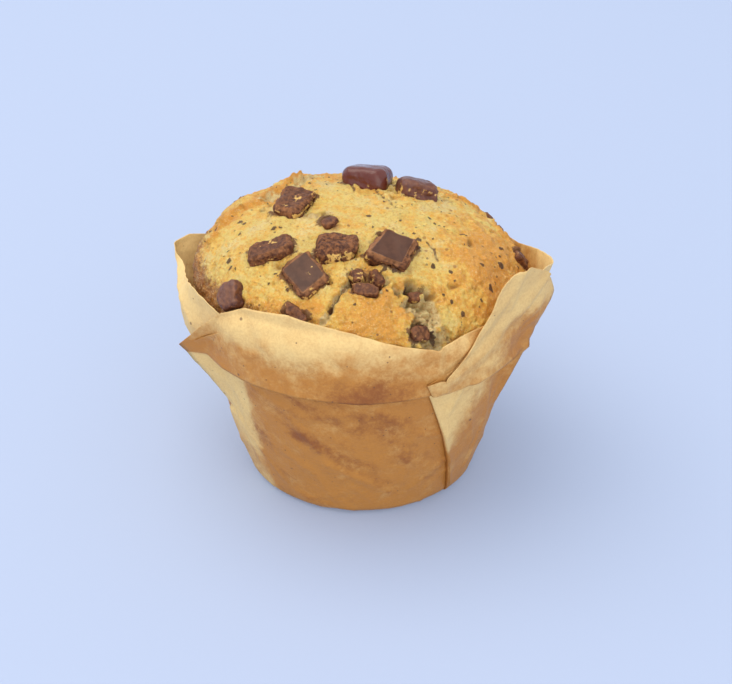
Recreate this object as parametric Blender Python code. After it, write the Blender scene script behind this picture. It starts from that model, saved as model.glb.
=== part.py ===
"""Chocolate chunk muffin in a folded paper wrap.

One baked cake, its separate chocolate chunks and one pleated paper sheet. The origin is on the table
under the middle of the cup, +Z is up, and the side with the low front panel of paper faces -Y.
"""
import math
import random

import bmesh
import bpy
from mathutils import Euler, Matrix, Vector, noise

MM = 0.001
OBJECT_NAME = "muffin"

# Cup: the tapered lower part, shaped by the baking tin.
BASE_RADIUS = 25.0 * MM
TIN_RADIUS = 33.4 * MM
TIN_HEIGHT = 37.0 * MM
BASE_FILLET = 1.4 * MM

# Paper: one thin sheet; a pleat stacks three layers of it.
PAPER = 0.35 * MM
PLEAT_EXTRA = 0.7 * MM
GAP = 0.3 * MM
COLLAR_LIP = 1.3 * MM
PAPER_CLEARANCE = 0.7 * MM
WRAP_STATIONS = 90

# Cake: the crown that rose above the tin.
CROWN_RADIUS = 35.2 * MM
CROWN_BASE = 44.0 * MM
CROWN_RISE = 17.5 * MM
CROWN_POWER = 2.25
CROWN_ROUND = 0.52
CROWN_CENTRE = (-0.2 * MM, -0.8 * MM)
CROWN_LEAN = (-0.05, -0.09)
CAKE_STATIONS = 56
CAKE_RINGS = 16
SURFACE_NOISE = 0.45 * MM
NOISE_SIZE = 7.0 * MM

# Splits in the crust: points along each one, its half width and its depth, in millimetres.
SPLITS = (
    (((9.4, -25.4), (11.9, -28.4), (13.5, -31.0), (15.2, -33.6)), 2.1, 1.9),
    (((-3.0, -26.0), (-4.8, -29.3), (-7.6, -32.6)), 0.9, 0.8),
)

# Risen lumps of the crown: centre x, y, radius and height, in millimetres.
LUMPS = (
    (2.5, -31.0, 6.0, 1.2),
    (22.0, -15.0, 9.0, 1.3),
    (-15.0, 20.0, 6.0, 1.6),
    (-25.0, 10.0, 5.0, 1.1),
    (24.0, 20.0, 6.0, 1.3),
    (18.0, 24.0, 4.0, 1.0),
    (-23.0, -18.0, 6.0, 0.8),
    (5.0, 28.0, 7.0, 0.9),
    (-28.0, -6.0, 5.0, 0.9),
)

# Rim of the wrap: angle from the front (degrees, positive to +X), radius and height in millimetres.
RIM = (
    (-64, 40.5, 39.0), (-57, 38.2, 44.8), (-50, 36.2, 49.4), (-40, 35.0, 53.2), (-24, 34.6, 55.2),
    (-2, 34.7, 52.6), (12, 35.2, 50.2), (25, 35.8, 47.6), (36, 37.8, 47.6), (43, 38.3, 54.0),
    (48, 38.8, 59.2), (53, 39.6, 61.6), (59, 40.7, 60.8), (65, 41.2, 58.2), (70, 41.0, 54.6),
    (76, 40.4, 52.6), (83, 40.4, 50.4), (91, 39.8, 48.0), (100, 38.4, 45.4), (110, 36.7, 43.4),
    (140, 36.5, 42.6), (165, 36.6, 43.6), (190, 37.2, 44.4), (205, 36.8, 43.6), (228, 36.8, 43.2),
    (242, 37.8, 43.6), (250, 40.6, 46.0), (256, 41.8, 45.8), (264, 39.6, 45.2), (276, 39.3, 44.4),
    (288, 39.7, 41.8),
)

# Pleats: angle of the free edge at the base and at the rim, and how far the stacked layers reach.
PLEATS = (
    ("front_left", -66.0, -64.0, 22.0),
    ("front_right", 46.0, 22.0, 18.0),
    ("right_back", 62.0, 79.0, -18.0),
    ("rear", 190.0, 176.0, 20.0),
)

# Chocolate: name, x and y on the crown, length, width, height, turn, two tilts (degrees), share sunk.
CHUNKS = (
    ("chunk_top_left", -14.0, 0.2, 9.0, 7.2, 5.4, 14, -8, 4, 0.58),
    ("chunk_top_small", -6.5, -7.8, 3.2, 2.8, 2.6, -30, 5, 8, 0.68),
    ("chunk_left", -17.9, -16.2, 9.2, 5.0, 4.8, 56, 4, -6, 0.60),
    ("chunk_front_square", -10.8, -23.9, 8.6, 6.2, 5.0, -32, 8, 4, 0.62),
    ("chunk_centre_rough", -4.9, -17.0, 7.8, 7.0, 5.4, 8, -4, 6, 0.56),
    ("chunk_big_square", 6.0, -17.4, 9.2, 8.0, 5.4, 26, 6, -3, 0.56),
    ("chunk_wedge", -0.9, -24.2, 2.6, 2.6, 3.2, 30, 6, 0, 0.80),
    ("chunk_crack_small", 2.9, -24.6, 2.4, 3.4, 3.2, 10, 6, 8, 0.66),
    ("chunk_crack_low", 0.7, -28.0, 5.4, 2.4, 3.0, -6, 4, 0, 0.70),
    ("chunk_crest_left", 1.3, 13.4, 8.2, 7.6, 6.4, -6, 6, 4, 0.50),
    ("chunk_crest_right", 11.3, 9.7, 7.2, 7.6, 5.8, -34, 4, 8, 0.52),
    ("chunk_rim_left", -26.1, -21.9, 5.6, 4.8, 4.4, 40, 0, 0, 0.60),
    ("chunk_rim_front", -12.7, -30.5, 5.2, 2.6, 3.0, -18, 0, 0, 0.70),
    ("chunk_edge_right", 33.1, -1.6, 3.2, 5.2, 3.4, 10, 0, 0, 0.58),
    ("chunk_edge_tiny", 29.4, 9.8, 1.6, 1.4, 1.4, 0, 0, 0, 0.64),
    ("chunk_split_bottom", 11.6, -32.2, 4.4, 2.6, 2.6, -16, 0, 0, 0.74),
    ("chunk_split_top", 10.6, -25.6, 2.8, 2.0, 2.2, 12, 0, 0, 0.76),
    ("chunk_back_left", -11.8, 29.2, 7.2, 5.4, 4.8, -16, 6, 0, 0.78),
    ("chunk_back_middle", 5.2, 30.2, 4.4, 3.8, 4.0, 44, -5, 3, 0.84),
    ("chunk_back_rim", -2.6, 32.9, 3.4, 2.6, 2.8, 28, 0, 0, 0.72),
    ("chunk_back_right", 14.6, 28.4, 6.8, 5.4, 4.8, 66, 0, -5, 0.80),
    ("chunk_right_side", 28.0, 18.2, 4.6, 3.6, 3.2, 20, 0, 0, 0.78),
    ("chunk_back_small", 20.4, 26.2, 2.8, 2.4, 2.6, 20, 0, 0, 0.74),
    ("chunk_left_side", -27.4, 17.6, 5.2, 4.4, 3.8, -20, 0, 0, 0.78),
)

CAKE_COLOUR = (0.72, 0.47, 0.17, 1.0)
PAPER_COLOUR = (0.60, 0.38, 0.17, 1.0)
CHOCOLATE_COLOUR = (0.085, 0.032, 0.018, 1.0)
CHUNK_BEVEL = 0.16
CHUNK_JITTER = 0.10
CHUNK_SEED = 41


def clear_scene():
    for item in list(bpy.data.objects):
        bpy.data.objects.remove(item, do_unlink=True)


def make_collection(name):
    collection = bpy.data.collections.new(name)
    bpy.context.scene.collection.children.link(collection)
    return collection


def make_material(name, colour, roughness):
    material = bpy.data.materials.new(name)
    material.use_nodes = True
    shader = material.node_tree.nodes["Principled BSDF"]
    shader.inputs["Base Color"].default_value = colour
    shader.inputs["Roughness"].default_value = roughness
    shader.inputs["Metallic"].default_value = 0.0
    return material


def add_object(name, mesh, material, collection):
    item = bpy.data.objects.new(name, mesh)
    mesh.materials.append(material)
    collection.objects.link(item)
    return item


def smooth_step(value, low, high):
    share = min(1.0, max(0.0, (value - low) / (high - low)))
    return share * share * (3.0 - 2.0 * share)


def segment_distance(point, start, end):
    run = end - start
    share = min(1.0, max(0.0, (point - start).dot(run) / run.length_squared))
    return (point - start - run * share).length


def split_depth(x, y):
    """How far the splits in the crust lower the crown at one place."""
    point = Vector((x, y))
    depth = 0.0
    for path, half_width, deep in SPLITS:
        corners = [Vector(corner) * MM for corner in path]
        away = min(segment_distance(point, a, b) for a, b in zip(corners, corners[1:]))
        depth += deep * MM * math.exp(-((away / (half_width * MM)) ** 2))
    return depth


def lump_height(x, y):
    height = 0.0
    for lump_x, lump_y, radius, rise in LUMPS:
        away = math.hypot(x - lump_x * MM, y - lump_y * MM) / (radius * MM)
        height += rise * MM * math.exp(-away * away)
    return height


def surface_noise(point):
    return SURFACE_NOISE * noise.noise(point / NOISE_SIZE)


def crown_lean(x, y):
    return CROWN_LEAN[0] * x + CROWN_LEAN[1] * y


def crown_height(x, y):
    """Top surface of the cake over one point of the plan."""
    reach = math.hypot(x - CROWN_CENTRE[0], y - CROWN_CENTRE[1]) / CROWN_RADIUS
    rise = CROWN_RISE * max(0.0, 1.0 - min(1.0, reach) ** CROWN_POWER) ** CROWN_ROUND
    return CROWN_BASE + rise + crown_lean(x, y) + lump_height(x, y) - split_depth(x, y)


def cup_radius(height):
    share = min(1.0, max(0.0, height / TIN_HEIGHT))
    return BASE_RADIUS + (TIN_RADIUS - BASE_RADIUS) * share


def cake_wall(direction):
    """Points up the side of the cake, from the middle of its base to the widest ring of the crown."""
    floor = PAPER + GAP
    inset = PAPER + GAP
    points = [(0.0, floor), (BASE_RADIUS * 0.5, floor)]
    points.append((BASE_RADIUS - inset - BASE_FILLET, floor))
    points.append((cup_radius(floor + BASE_FILLET) - inset, floor + BASE_FILLET))
    for share in (0.2, 0.4, 0.6, 0.8, 0.97):
        height = TIN_HEIGHT * share
        points.append((cup_radius(height) - inset, height))
    top = CROWN_BASE + crown_lean(*(direction * CROWN_RADIUS))
    points.append((0.5 * (TIN_RADIUS + CROWN_RADIUS) - inset, TIN_HEIGHT + 0.6 * (top - TIN_HEIGHT)))
    return points


def cake_rings():
    """Rings of points from the middle of the base, up the side and over the crown to its centre."""
    rings = []
    directions = []
    for station in range(CAKE_STATIONS):
        angle = 2.0 * math.pi * station / CAKE_STATIONS
        directions.append(Vector((math.sin(angle), -math.cos(angle))))
    walls = [cake_wall(direction) for direction in directions]
    for row in range(1, len(walls[0])):
        ring = []
        for direction, wall in zip(directions, walls):
            radius, height = wall[row]
            ring.append(Vector((direction.x * radius, direction.y * radius, height)))
        rings.append(ring)
    for row in range(CAKE_RINGS):
        radius = CROWN_RADIUS * math.cos(0.5 * math.pi * row / CAKE_RINGS) ** 0.8
        ring = []
        for direction in directions:
            x = CROWN_CENTRE[0] + direction.x * radius
            y = CROWN_CENTRE[1] + direction.y * radius
            point = Vector((x, y, crown_height(x, y)))
            point.z += surface_noise(point) * smooth_step(row, 0, 3)
            ring.append(point)
        rings.append(ring)
    return rings


def loft_mesh(name, rings, bottom, top):
    """A closed skin through the rings, with one point at each end."""
    mesh = bpy.data.meshes.new(name)
    built = bmesh.new()
    rows = [[built.verts.new(point) for point in ring] for ring in rings]
    start = built.verts.new(bottom)
    finish = built.verts.new(top)
    count = len(rows[0])
    for index in range(count):
        after = (index + 1) % count
        built.faces.new((rows[0][index], start, rows[0][after]))
        built.faces.new((rows[-1][after], finish, rows[-1][index]))
        for low, high in zip(rows, rows[1:]):
            built.faces.new((low[index], low[after], high[after], high[index]))
    bmesh.ops.recalc_face_normals(built, faces=built.faces)
    built.to_mesh(mesh)
    built.free()
    mesh.shade_smooth()
    mesh.set_sharp_from_angle(angle=math.radians(40.0))
    return mesh


def build_cake(material, collection):
    bottom = Vector((0.0, 0.0, PAPER + GAP))
    top = Vector((CROWN_CENTRE[0], CROWN_CENTRE[1], crown_height(*CROWN_CENTRE)))
    mesh = loft_mesh("muffin_cake", cake_rings(), bottom, top)
    return add_object("muffin_cake", mesh, material, collection)


def rim_at(angle):
    """Radius and height of the paper's rim at one angle, in metres."""
    points = list(RIM)
    first = points[0]
    points.append((first[0] + 360, first[1], first[2]))
    while angle < points[0][0]:
        angle += 360.0
    for low, high in zip(points, points[1:]):
        if low[0] <= angle <= high[0]:
            share = (angle - low[0]) / (high[0] - low[0])
            radius = low[1] + (high[1] - low[1]) * share
            height = low[2] + (high[2] - low[2]) * share
            return radius * MM, height * MM
    return points[0][1] * MM, points[0][2] * MM


def cake_reach(angle, height):
    """Distance from the axis to the side of the crown at one angle and height."""
    direction = Vector((math.sin(math.radians(angle)), -math.cos(math.radians(angle))))
    above = height - CROWN_BASE - crown_lean(*(direction * CROWN_RADIUS))
    reach = CROWN_RADIUS
    if above > 0.0:
        share = min(1.0, above / CROWN_RISE)
        reach *= (1.0 - share ** (1.0 / CROWN_ROUND)) ** (1.0 / CROWN_POWER)
    return reach + direction.dot(Vector(CROWN_CENTRE))


def pleat_thickness(angle, share):
    """Extra thickness where a pleat stacks its layers, full at the free edge and none at the far side."""
    extra = 0.0
    for _name, base_angle, rim_angle, reach in PLEATS:
        edge = base_angle + (rim_angle - base_angle) * share
        across = (angle - edge + 180.0) % 360.0 - 180.0
        across *= math.copysign(1.0, reach)
        if 0.0 <= across:
            extra = max(extra, 1.0 - smooth_step(across, abs(reach), abs(reach) * 1.6))
    return PLEAT_EXTRA * extra * (0.25 + 0.75 * share)


def wrap_profile(angle):
    """Inner and outer points up the paper at one angle: lists of (radius, height), base to rim."""
    rim_radius, rim_height = rim_at(angle)
    inner = [(BASE_RADIUS - PAPER - BASE_FILLET, PAPER)]
    outer = [(BASE_RADIUS - BASE_FILLET, 0.0)]
    for share in (0.04, 0.22, 0.42, 0.62, 0.82, 0.985):
        height = TIN_HEIGHT * share
        radius = cup_radius(height)
        inner.append((radius - PAPER, height))
        outer.append((radius + pleat_thickness(angle, share), height))
    lip = min(TIN_HEIGHT + COLLAR_LIP, rim_height - COLLAR_LIP)
    lip_radius = TIN_RADIUS + COLLAR_LIP
    for share in (0.0, 0.3, 0.6, 0.8, 1.0):
        height = lip + (rim_height - lip) * share
        straight = lip_radius + (rim_radius - lip_radius) * share
        radius = max(straight, cake_reach(angle, height) + PAPER_CLEARANCE)
        inner.append((radius, height))
        outer.append((radius + PAPER + pleat_thickness(angle, 1.0), height))
    return inner, outer


def build_wrap(material, collection):
    """The paper: a thin cup with a collar, closed round its rim, open at the top."""
    columns = []
    for station in range(WRAP_STATIONS):
        angle = 360.0 * station / WRAP_STATIONS - 180.0
        inner, outer = wrap_profile(angle)
        columns.append((math.radians(angle), outer + inner[::-1]))
    rings = []
    for row in range(len(columns[0][1])):
        ring = []
        for angle, profile in columns:
            radius, height = profile[row]
            ring.append(Vector((math.sin(angle) * radius, -math.cos(angle) * radius, height)))
        rings.append(ring)
    mesh = loft_mesh("paper_wrap", rings, Vector((0.0, 0.0, 0.0)), Vector((0.0, 0.0, PAPER)))
    return add_object("paper_wrap", mesh, material, collection)


def chunk_mesh(name, size, seed):
    """A broken piece of a chocolate bar: a block with uneven corners and softened edges."""
    source = random.Random(seed)
    built = bmesh.new()
    bmesh.ops.create_cube(built, size=1.0)
    for vert in built.verts:
        jitter = [source.uniform(-CHUNK_JITTER, CHUNK_JITTER) for _axis in range(3)]
        vert.co = Vector([(part + shift) * length for part, shift, length in zip(vert.co, jitter, size)])
    edges = list(built.edges)
    width = min(size) * CHUNK_BEVEL
    bmesh.ops.bevel(built, geom=edges, offset=width, segments=1, affect="EDGES")
    bmesh.ops.triangulate(built, faces=built.faces)
    mesh = bpy.data.meshes.new(name)
    built.to_mesh(mesh)
    built.free()
    mesh.shade_smooth()
    return mesh


def crown_normal(x, y):
    step = 1.5 * MM
    slope_x = (crown_height(x + step, y) - crown_height(x - step, y)) / (2.0 * step)
    slope_y = (crown_height(x, y + step) - crown_height(x, y - step)) / (2.0 * step)
    return Vector((-slope_x, -slope_y, 1.0)).normalized()


def chunk_place(x, y, height, turn, tilts, sunk):
    """World matrix of a chunk lying on the crown, pushed in by its sunk share."""
    normal = crown_normal(x, y)
    ground = Vector((x, y, crown_height(x, y)))
    centre = ground + normal * height * (0.5 - sunk)
    lie = normal.to_track_quat("Z", "Y").to_matrix().to_4x4()
    spin = Euler([math.radians(value) for value in (*tilts, turn)], "XYZ").to_matrix().to_4x4()
    return Matrix.Translation(centre) @ lie @ spin


def cut_pocket(cake, chunk, size, cutters, material):
    """Cut the cake for one chunk, leaving the gap all round it."""
    pocket = add_object(chunk.name + "_pocket", chunk.data.copy(), material, cutters)
    growth = [(length + 2.0 * GAP) / length for length in size]
    pocket.data.transform(Matrix.Diagonal((*growth, 1.0)))
    pocket.matrix_world = chunk.matrix_world
    pocket.display_type = "WIRE"
    pocket.hide_render = True
    cut = cake.modifiers.new(pocket.name, "BOOLEAN")
    cut.operation = "DIFFERENCE"
    cut.solver = "EXACT"
    cut.object = pocket


def build_chunks(cake, collection, cutters):
    for order, row in enumerate(CHUNKS):
        name, x, y, length, width, height, turn, tilt_x, tilt_y, sunk = row
        size = [value * MM for value in (length, width, height)]
        material = make_material(name, CHOCOLATE_COLOUR, 0.45)
        chunk = add_object(name, chunk_mesh(name, size, CHUNK_SEED + order), material, collection)
        chunk.matrix_world = chunk_place(x * MM, y * MM, size[2], turn, (tilt_x, tilt_y), sunk)
        cut_pocket(cake, chunk, size, cutters, material)


def centre_plan(wrap, items):
    """Move everything so that the wrap, the widest piece, is centred over the origin."""
    sides = [[point.co[axis] for point in wrap.data.vertices] for axis in range(2)]
    shift = Vector([-0.5 * (min(side) + max(side)) for side in sides] + [0.0])
    for item in items:
        item.matrix_world = Matrix.Translation(shift) @ item.matrix_world


def main():
    clear_scene()
    parts = make_collection(OBJECT_NAME)
    cutters = make_collection("cutters")
    cake = build_cake(make_material("cake", CAKE_COLOUR, 0.9), parts)
    wrap = build_wrap(make_material("paper", PAPER_COLOUR, 0.7), parts)
    build_chunks(cake, parts, cutters)
    centre_plan(wrap, [*parts.objects, *cutters.objects])


main()
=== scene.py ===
"""Chocolate chunk muffin in a tulip paper wrap: the looks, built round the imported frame."""
import math
import random
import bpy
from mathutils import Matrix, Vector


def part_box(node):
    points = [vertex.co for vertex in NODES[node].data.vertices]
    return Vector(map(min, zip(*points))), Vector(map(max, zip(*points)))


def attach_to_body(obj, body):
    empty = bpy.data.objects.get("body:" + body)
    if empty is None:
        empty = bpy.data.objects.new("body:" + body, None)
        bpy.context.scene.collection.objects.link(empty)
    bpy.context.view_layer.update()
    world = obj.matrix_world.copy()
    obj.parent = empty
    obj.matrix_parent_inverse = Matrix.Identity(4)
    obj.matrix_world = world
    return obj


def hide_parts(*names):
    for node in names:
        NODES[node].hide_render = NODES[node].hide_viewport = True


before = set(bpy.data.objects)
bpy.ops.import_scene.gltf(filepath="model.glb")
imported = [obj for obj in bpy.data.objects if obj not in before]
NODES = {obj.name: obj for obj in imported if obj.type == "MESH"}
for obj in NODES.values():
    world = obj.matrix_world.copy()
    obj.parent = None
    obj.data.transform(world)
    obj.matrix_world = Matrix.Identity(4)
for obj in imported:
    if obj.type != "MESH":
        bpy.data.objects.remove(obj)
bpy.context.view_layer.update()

from types import SimpleNamespace

import bmesh
import bpy
import numpy as np
from mathutils import Vector
from mathutils.bvhtree import BVHTree

MM = 0.001
CHUNK_NAMES = sorted(name for name in NODES if name.startswith("chunk_"))

# Cup, collar and crown: the same driving sizes as the CAD model, in millimetres.
BASE_RADIUS = 25.0
BASE_FILLET = 1.4
TIN_RADIUS = 33.4
TIN_HEIGHT = 37.0
COLLAR_LIP = 1.3
CAKE_INSET = 0.75
CROWN_RADIUS = 35.2
CROWN_BASE = 44.0
CROWN_RISE = 17.5
CROWN_POWER = 2.25
CROWN_ROUND = 0.52
CROWN_CENTRE = (-0.2, -0.8)
CROWN_LEAN = (-0.05, -0.09)

# Risen lumps of the crown: centre x, y, radius and height.
LUMPS = (
    (2.5, -31.0, 6.0, 1.2),
    (22.0, -15.0, 9.0, 1.3),
    (-15.0, 20.0, 6.0, 1.6),
    (-25.0, 10.0, 5.0, 1.1),
    (24.0, 20.0, 6.0, 1.3),
    (18.0, 24.0, 4.0, 1.0),
    (-23.0, -18.0, 6.0, 0.8),
    (5.0, 28.0, 7.0, 0.9),
    (-28.0, -6.0, 5.0, 0.9),
)

# Splits in the crust: points along each one, half width, depth.
SPLITS = (
    (((9.2, -25.2), (11.4, -27.6)), 1.5, 2.0),
    (((11.0, -27.2), (12.6, -30.0), (14.2, -33.0)), 2.3, 2.5),
    (((-3.0, -26.0), (-4.8, -29.3), (-7.6, -32.6)), 0.7, 1.1),
    (((-1.5, -25.4), (1.5, -26.2), (4.0, -26.0)), 1.7, 2.2),
    (((-14.5, -2.0), (-10.0, -5.0), (-7.0, -4.0)), 0.9, 0.9),
    (((-20.0, 6.0), (-14.0, 12.0), (-10.0, 21.0)), 1.2, 1.0),
    (((12.0, 24.0), (16.0, 28.0), (17.0, 32.0)), 1.6, 1.5),
    (((-20.0, 24.0), (-12.0, 28.0)), 1.2, 1.2),
)

# Thin flaps of crust that stand up: points along each one, half width, height.
FLAPS = (
    (((-30.5, -4.0), (-28.5, 1.5), (-25.0, 5.5), (-21.0, 5.0)), 0.8, 1.1),
    (((-20.5, 6.5), (-18.5, 11.0), (-15.5, 16.0), (-11.5, 18.5)), 0.7, 1.0),
    (((17.0, 13.0), (21.0, 15.5), (24.5, 15.0), (27.0, 11.0)), 0.6, 0.7),
    (((28.5, 8.0), (31.0, 3.0), (32.0, -1.5)), 0.6, 0.6),
    (((4.0, 30.0), (12.0, 30.5), (20.0, 27.0)), 0.8, 0.9),
)

# Dark hairline cracks: points along each one.
HAIRLINES = (
    ((13.4, -12.3), (14.6, -14.6), (15.4, -17.2)),
    ((3.0, 8.5), (5.4, 4.2), (7.2, 0.4)),
    ((-7.0, 20.0), (-3.6, 15.0), (-1.6, 8.5)),
    ((-3.2, -26.2), (-4.4, -28.6), (-6.4, -31.0)),
)

# Hollows pressed into the crust and darkened with painted shade: centre x, y, radius and strength.
HOLLOWS = (
    (1.2, -25.6, 1.7, 1.0),
    (-1.8, -26.3, 1.2, 0.8),
    (-5.6, -9.6, 1.4, 0.8),
    (9.6, -25.0, 1.2, 0.9),
    (11.6, -31.2, 1.4, 0.7),
)

# Chocolate flecks baked into the crust: centre x, y and radius.
FLECKS = (
    (21.0, -6.0, 0.75), (28.5, -10.5, 0.8), (24.0, -15.0, 0.5), (26.0, -18.5, 0.8), (20.0, -26.5, 0.6),
    (14.0, -2.0, 0.6), (28.5, -5.0, 0.5), (18.0, -19.5, 0.5), (18.5, -21.5, 0.4), (11.5, -12.0, 0.7),
    (11.5, -15.5, 0.6), (14.5, -19.0, 0.6), (1.5, -4.5, 0.6), (-30.0, 0.5, 0.6), (-25.0, -2.0, 0.7),
    (-24.2, -3.2, 0.5), (-25.0, -7.0, 0.4), (-26.5, -14.5, 0.6), (-26.2, -16.4, 0.6), (-27.0, -11.5, 0.4),
    (-18.0, -8.0, 0.6), (-17.0, -22.0, 0.5), (-22.0, -18.0, 0.4), (-14.5, -26.0, 0.4), (8.0, -6.0, 0.5),
    (9.3, -25.6, 0.9), (10.4, -25.2, 0.7), (10.3, -32.6, 0.8), (12.4, -31.4, 0.7), (14.6, -31.8, 0.8),
    (4.6, -22.5, 0.6), (-9.6, -22.2, 0.6), (-8.2, -24.0, 0.5), (6.4, -22.8, 0.5), (16.2, -25.0, 0.4),
)
LOOSE_FLECKS = 110

# Toasted places: centre x, y, radius and strength.
TOASTED = (
    (2.5, -31.0, 7.0, 0.95),
    (24.0, -9.0, 9.0, 0.80),
    (27.5, -17.0, 7.5, 0.85),
    (31.0, -4.0, 8.0, 0.60),
    (17.0, -20.0, 5.0, 0.45),
    (-12.0, -29.0, 6.0, 0.55),
    (-28.0, 2.0, 5.0, 0.85),
    (-18.0, 10.0, 5.5, 0.85),
    (-13.0, 18.0, 5.0, 0.90),
    (-22.5, 7.0, 4.0, 0.60),
    (-6.0, 21.0, 5.0, 0.50),
    (-21.0, -23.0, 5.0, 0.35),
    (8.0, -28.5, 5.0, 0.45),
    (22.0, 15.0, 4.0, 0.50),
    (-16.0, 26.0, 8.0, 0.9),
    (-29.0, 14.0, 6.0, 0.8),
    (8.0, 30.0, 9.0, 0.9),
    (26.0, 20.0, 8.0, 0.7),
)

# Relief of the crust: size and depth of each kind of unevenness, coarse to fine.
LUMP_SIZE = 6.5
LUMP_DEPTH = 0.42
KNOB_SIZE = 2.4
KNOB_DEPTH = 0.26
PEBBLE_SIZE = 1.45
PEBBLE_DEPTH = 0.22
GRIT_SIZE = 1.1
GRIT_DEPTH = 0.30
CRUMB_SIZE = 0.85
CRUMB_DEPTH = 0.13
PIT_SIZE = 1.6
TORN_SIZE = 0.95
TORN_DEPTH = 0.75
CHUNK_REACH = 2.6
CHUNK_RIM_HEIGHT = 0.85
CHUNK_RIM_WIDTH = 0.9
CHUNK_SEAM_WIDTH = 0.25

CROWN_COLUMNS = 600
CROWN_ROWS = 140
WALL_ROWS = 8

# Paper: degrees between stations at the rim, thickness, and distance between stacked layers.
PAPER_STEP = 1.08
PAPER_THICKNESS = 0.12
PAPER_FLOOR = 0.08
LAYER_GAP = 0.42
CUP_BULGE = 0.9
MM_PER_DEGREE = math.radians(34.0)

# One length of the folded sheet round the cup: name, angles at the rim and at the base, layer at each
# end, and its rim as (angle, radius, height). Layer 0 lies on the cake, layer 2 is outermost.
PAPER_PATH = (
    ("front", (-66, 55), (2.0, 0.0), (
        (-64, 40.6, 39.1), (-57, 38.2, 45.4), (-50, 36.3, 50.6), (-40, 35.2, 54.4), (-24, 34.9, 56.0),
        (-2, 35.0, 53.2), (12, 35.4, 50.4), (24, 35.7, 48.2), (30, 35.7, 49.0), (38, 35.9, 50.0),
        (46, 36.3, 50.6))),
    ("under_petal", (55, 45.5), (0.9, 1.1), (
        (46, 36.7, 50.6), (38, 36.4, 47.2), (30, 36.0, 43.0), (20, 35.8, 40.4))),
    ("petal", (45.5, 63), (2.0, 2.0), (
        (20, 35.9, 40.6), (26.4, 35.9, 41.5), (30.4, 36.1, 43.7), (35.7, 36.5, 47.5), (38.2, 36.9, 50.7),
        (42.2, 37.3, 54.2), (44.3, 37.7, 57.3), (46.3, 38.2, 59.8), (50.7, 38.9, 61.4), (55.8, 39.5, 60.9),
        (64.7, 40.1, 56.7), (70.5, 39.9, 52.5), (75, 39.8, 47.2))),
    ("under_petal_right", (63, 58), (1.1, 0.9), (
        (75, 39.4, 47.2), (66, 38.6, 49.5), (56, 37.4, 51.0))),
    ("back", (58, 200), (0.0, 0.0), (
        (56, 37.2, 51.0), (66, 38.4, 53.5), (74, 39.3, 53.5), (82, 39.9, 50.9), (90, 39.0, 49.2),
        (97, 37.8, 47.6), (104, 37.0, 46.0), (112, 36.7, 43.8), (122, 36.6, 42.5), (140, 36.6, 42.5),
        (165, 36.7, 43.5), (192, 37.0, 44.0))),
    ("under_rear", (200, 194), (0.9, 1.1), (
        (192, 37.2, 44.0), (168, 37.4, 43.4))),
    ("left", (194, 304), (2.0, 0.0), (
        (168, 37.6, 43.4), (205, 36.8, 43.6), (228, 36.8, 43.2), (242, 37.7, 43.8), (249, 39.8, 45.8),
        (255, 41.7, 45.8), (259, 40.4, 45.2), (264, 37.8, 45.2), (270, 36.5, 45.6), (280, 36.5, 47.4),
        (290, 36.8, 49.6), (300, 36.6, 50.2), (312, 36.4, 49.4), (324, 36.2, 48.0))),
    ("under_front", (304, 294), (0.9, 1.1), (
        (324, 36.4, 48.0), (312, 36.6, 47.0), (304, 37.6, 43.4), (296, 40.4, 39.1))),
)
SECTION_NAMES = [section[0] for section in PAPER_PATH]

# Corners of the sheet that flare away from the tin: rim angle, how far round they reach, the height
# where they start and how the flare grows with height.
FLARES = (
    (-64.0, 10.0, 20.0, 1.05),
    (296.0, 10.0, 20.0, 1.05),
    (255.0, 7.0, 24.0, 1.15),
    (74.0, 8.0, 20.0, 0.75),
)

# Outer fold of the left side, below its rim: (angle, height, how far it stands out).
LEFT_FOLD = ((248, 45.0, 0.0), (258, 44.6, 0.8), (266, 44.4, 2.4), (282, 43.6, 2.5), (292, 41.4, 2.0),
             (304, 39.0, 0.0))

# Sharp folds in the outer paper as (angle, height) points, with half width and height of the fold.
FOLDS = (
    (((-27, 28), (-17, 20)), 1.5, 0.42),
    (((-14, 16), (7, 9.5), (12, 7)), 1.6, 0.45),
    (((-30, 4.0), (-18, 2.2), (-5, 1.6)), 1.0, 0.35),
    (((-42, 33), (-22, 29), (-6, 31)), 1.6, 0.30),
    (((4, 33), (22, 24), (33, 22)), 1.8, 0.32),
    (((-33, 17), (-20, 12), (-12, 4)), 1.6, 0.30),
    (((16, 18), (30, 11), (38, 13)), 1.7, 0.30),
    (((-60, 25), (-52, 14), (-50, 3)), 1.4, 0.30),
    (((24.5, 49), (26.5, 38.5)), 1.1, 0.95),
    (((39, 37), (33, 29)), 1.3, 0.60),
    (((38, 37.6), (50, 38.0), (66, 37.0), (78, 37.0)), 1.5, 0.75),
    (((69, 57.5), (64, 53.5), (56, 49.0)), 2.0, 0.85),
    (((66, 48), (56, 43.5), (46, 44.0)), 2.2, 0.60),
    (((52, 61), (51, 52)), 1.4, 0.60),
    (((-34, 53), (-30, 46), (-33, 40)), 1.8, 0.30),
    (((-8, 52), (-5, 45), (-12, 40)), 2.0, 0.28),
    (((52, 33), (58, 18), (55, 6)), 1.6, 0.35),
    (((24, 42.5), (36, 47.0), (50, 56.0)), 2.6, 0.55),
    (((30, 41.5), (45, 45.0), (60, 52.0)), 2.8, 0.70),
    (((42, 39.5), (58, 42.5), (72, 46.5)), 2.4, 0.55),
    (((44, 26), (52, 14)), 1.4, 0.30),
)
LOOSE_FOLDS = 120


# ---------------- helpers


def smooth_step(value, low, high):
    """0 below low, rising smoothly to 1 at high."""
    share = np.clip((value - low) / (high - low), 0.0, 1.0)
    return share * share * (3.0 - 2.0 * share)


def on_plane(x, y):
    """Points (n, 3) at height 0."""
    return np.stack([x, y, np.zeros(len(x))], axis=1)


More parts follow.
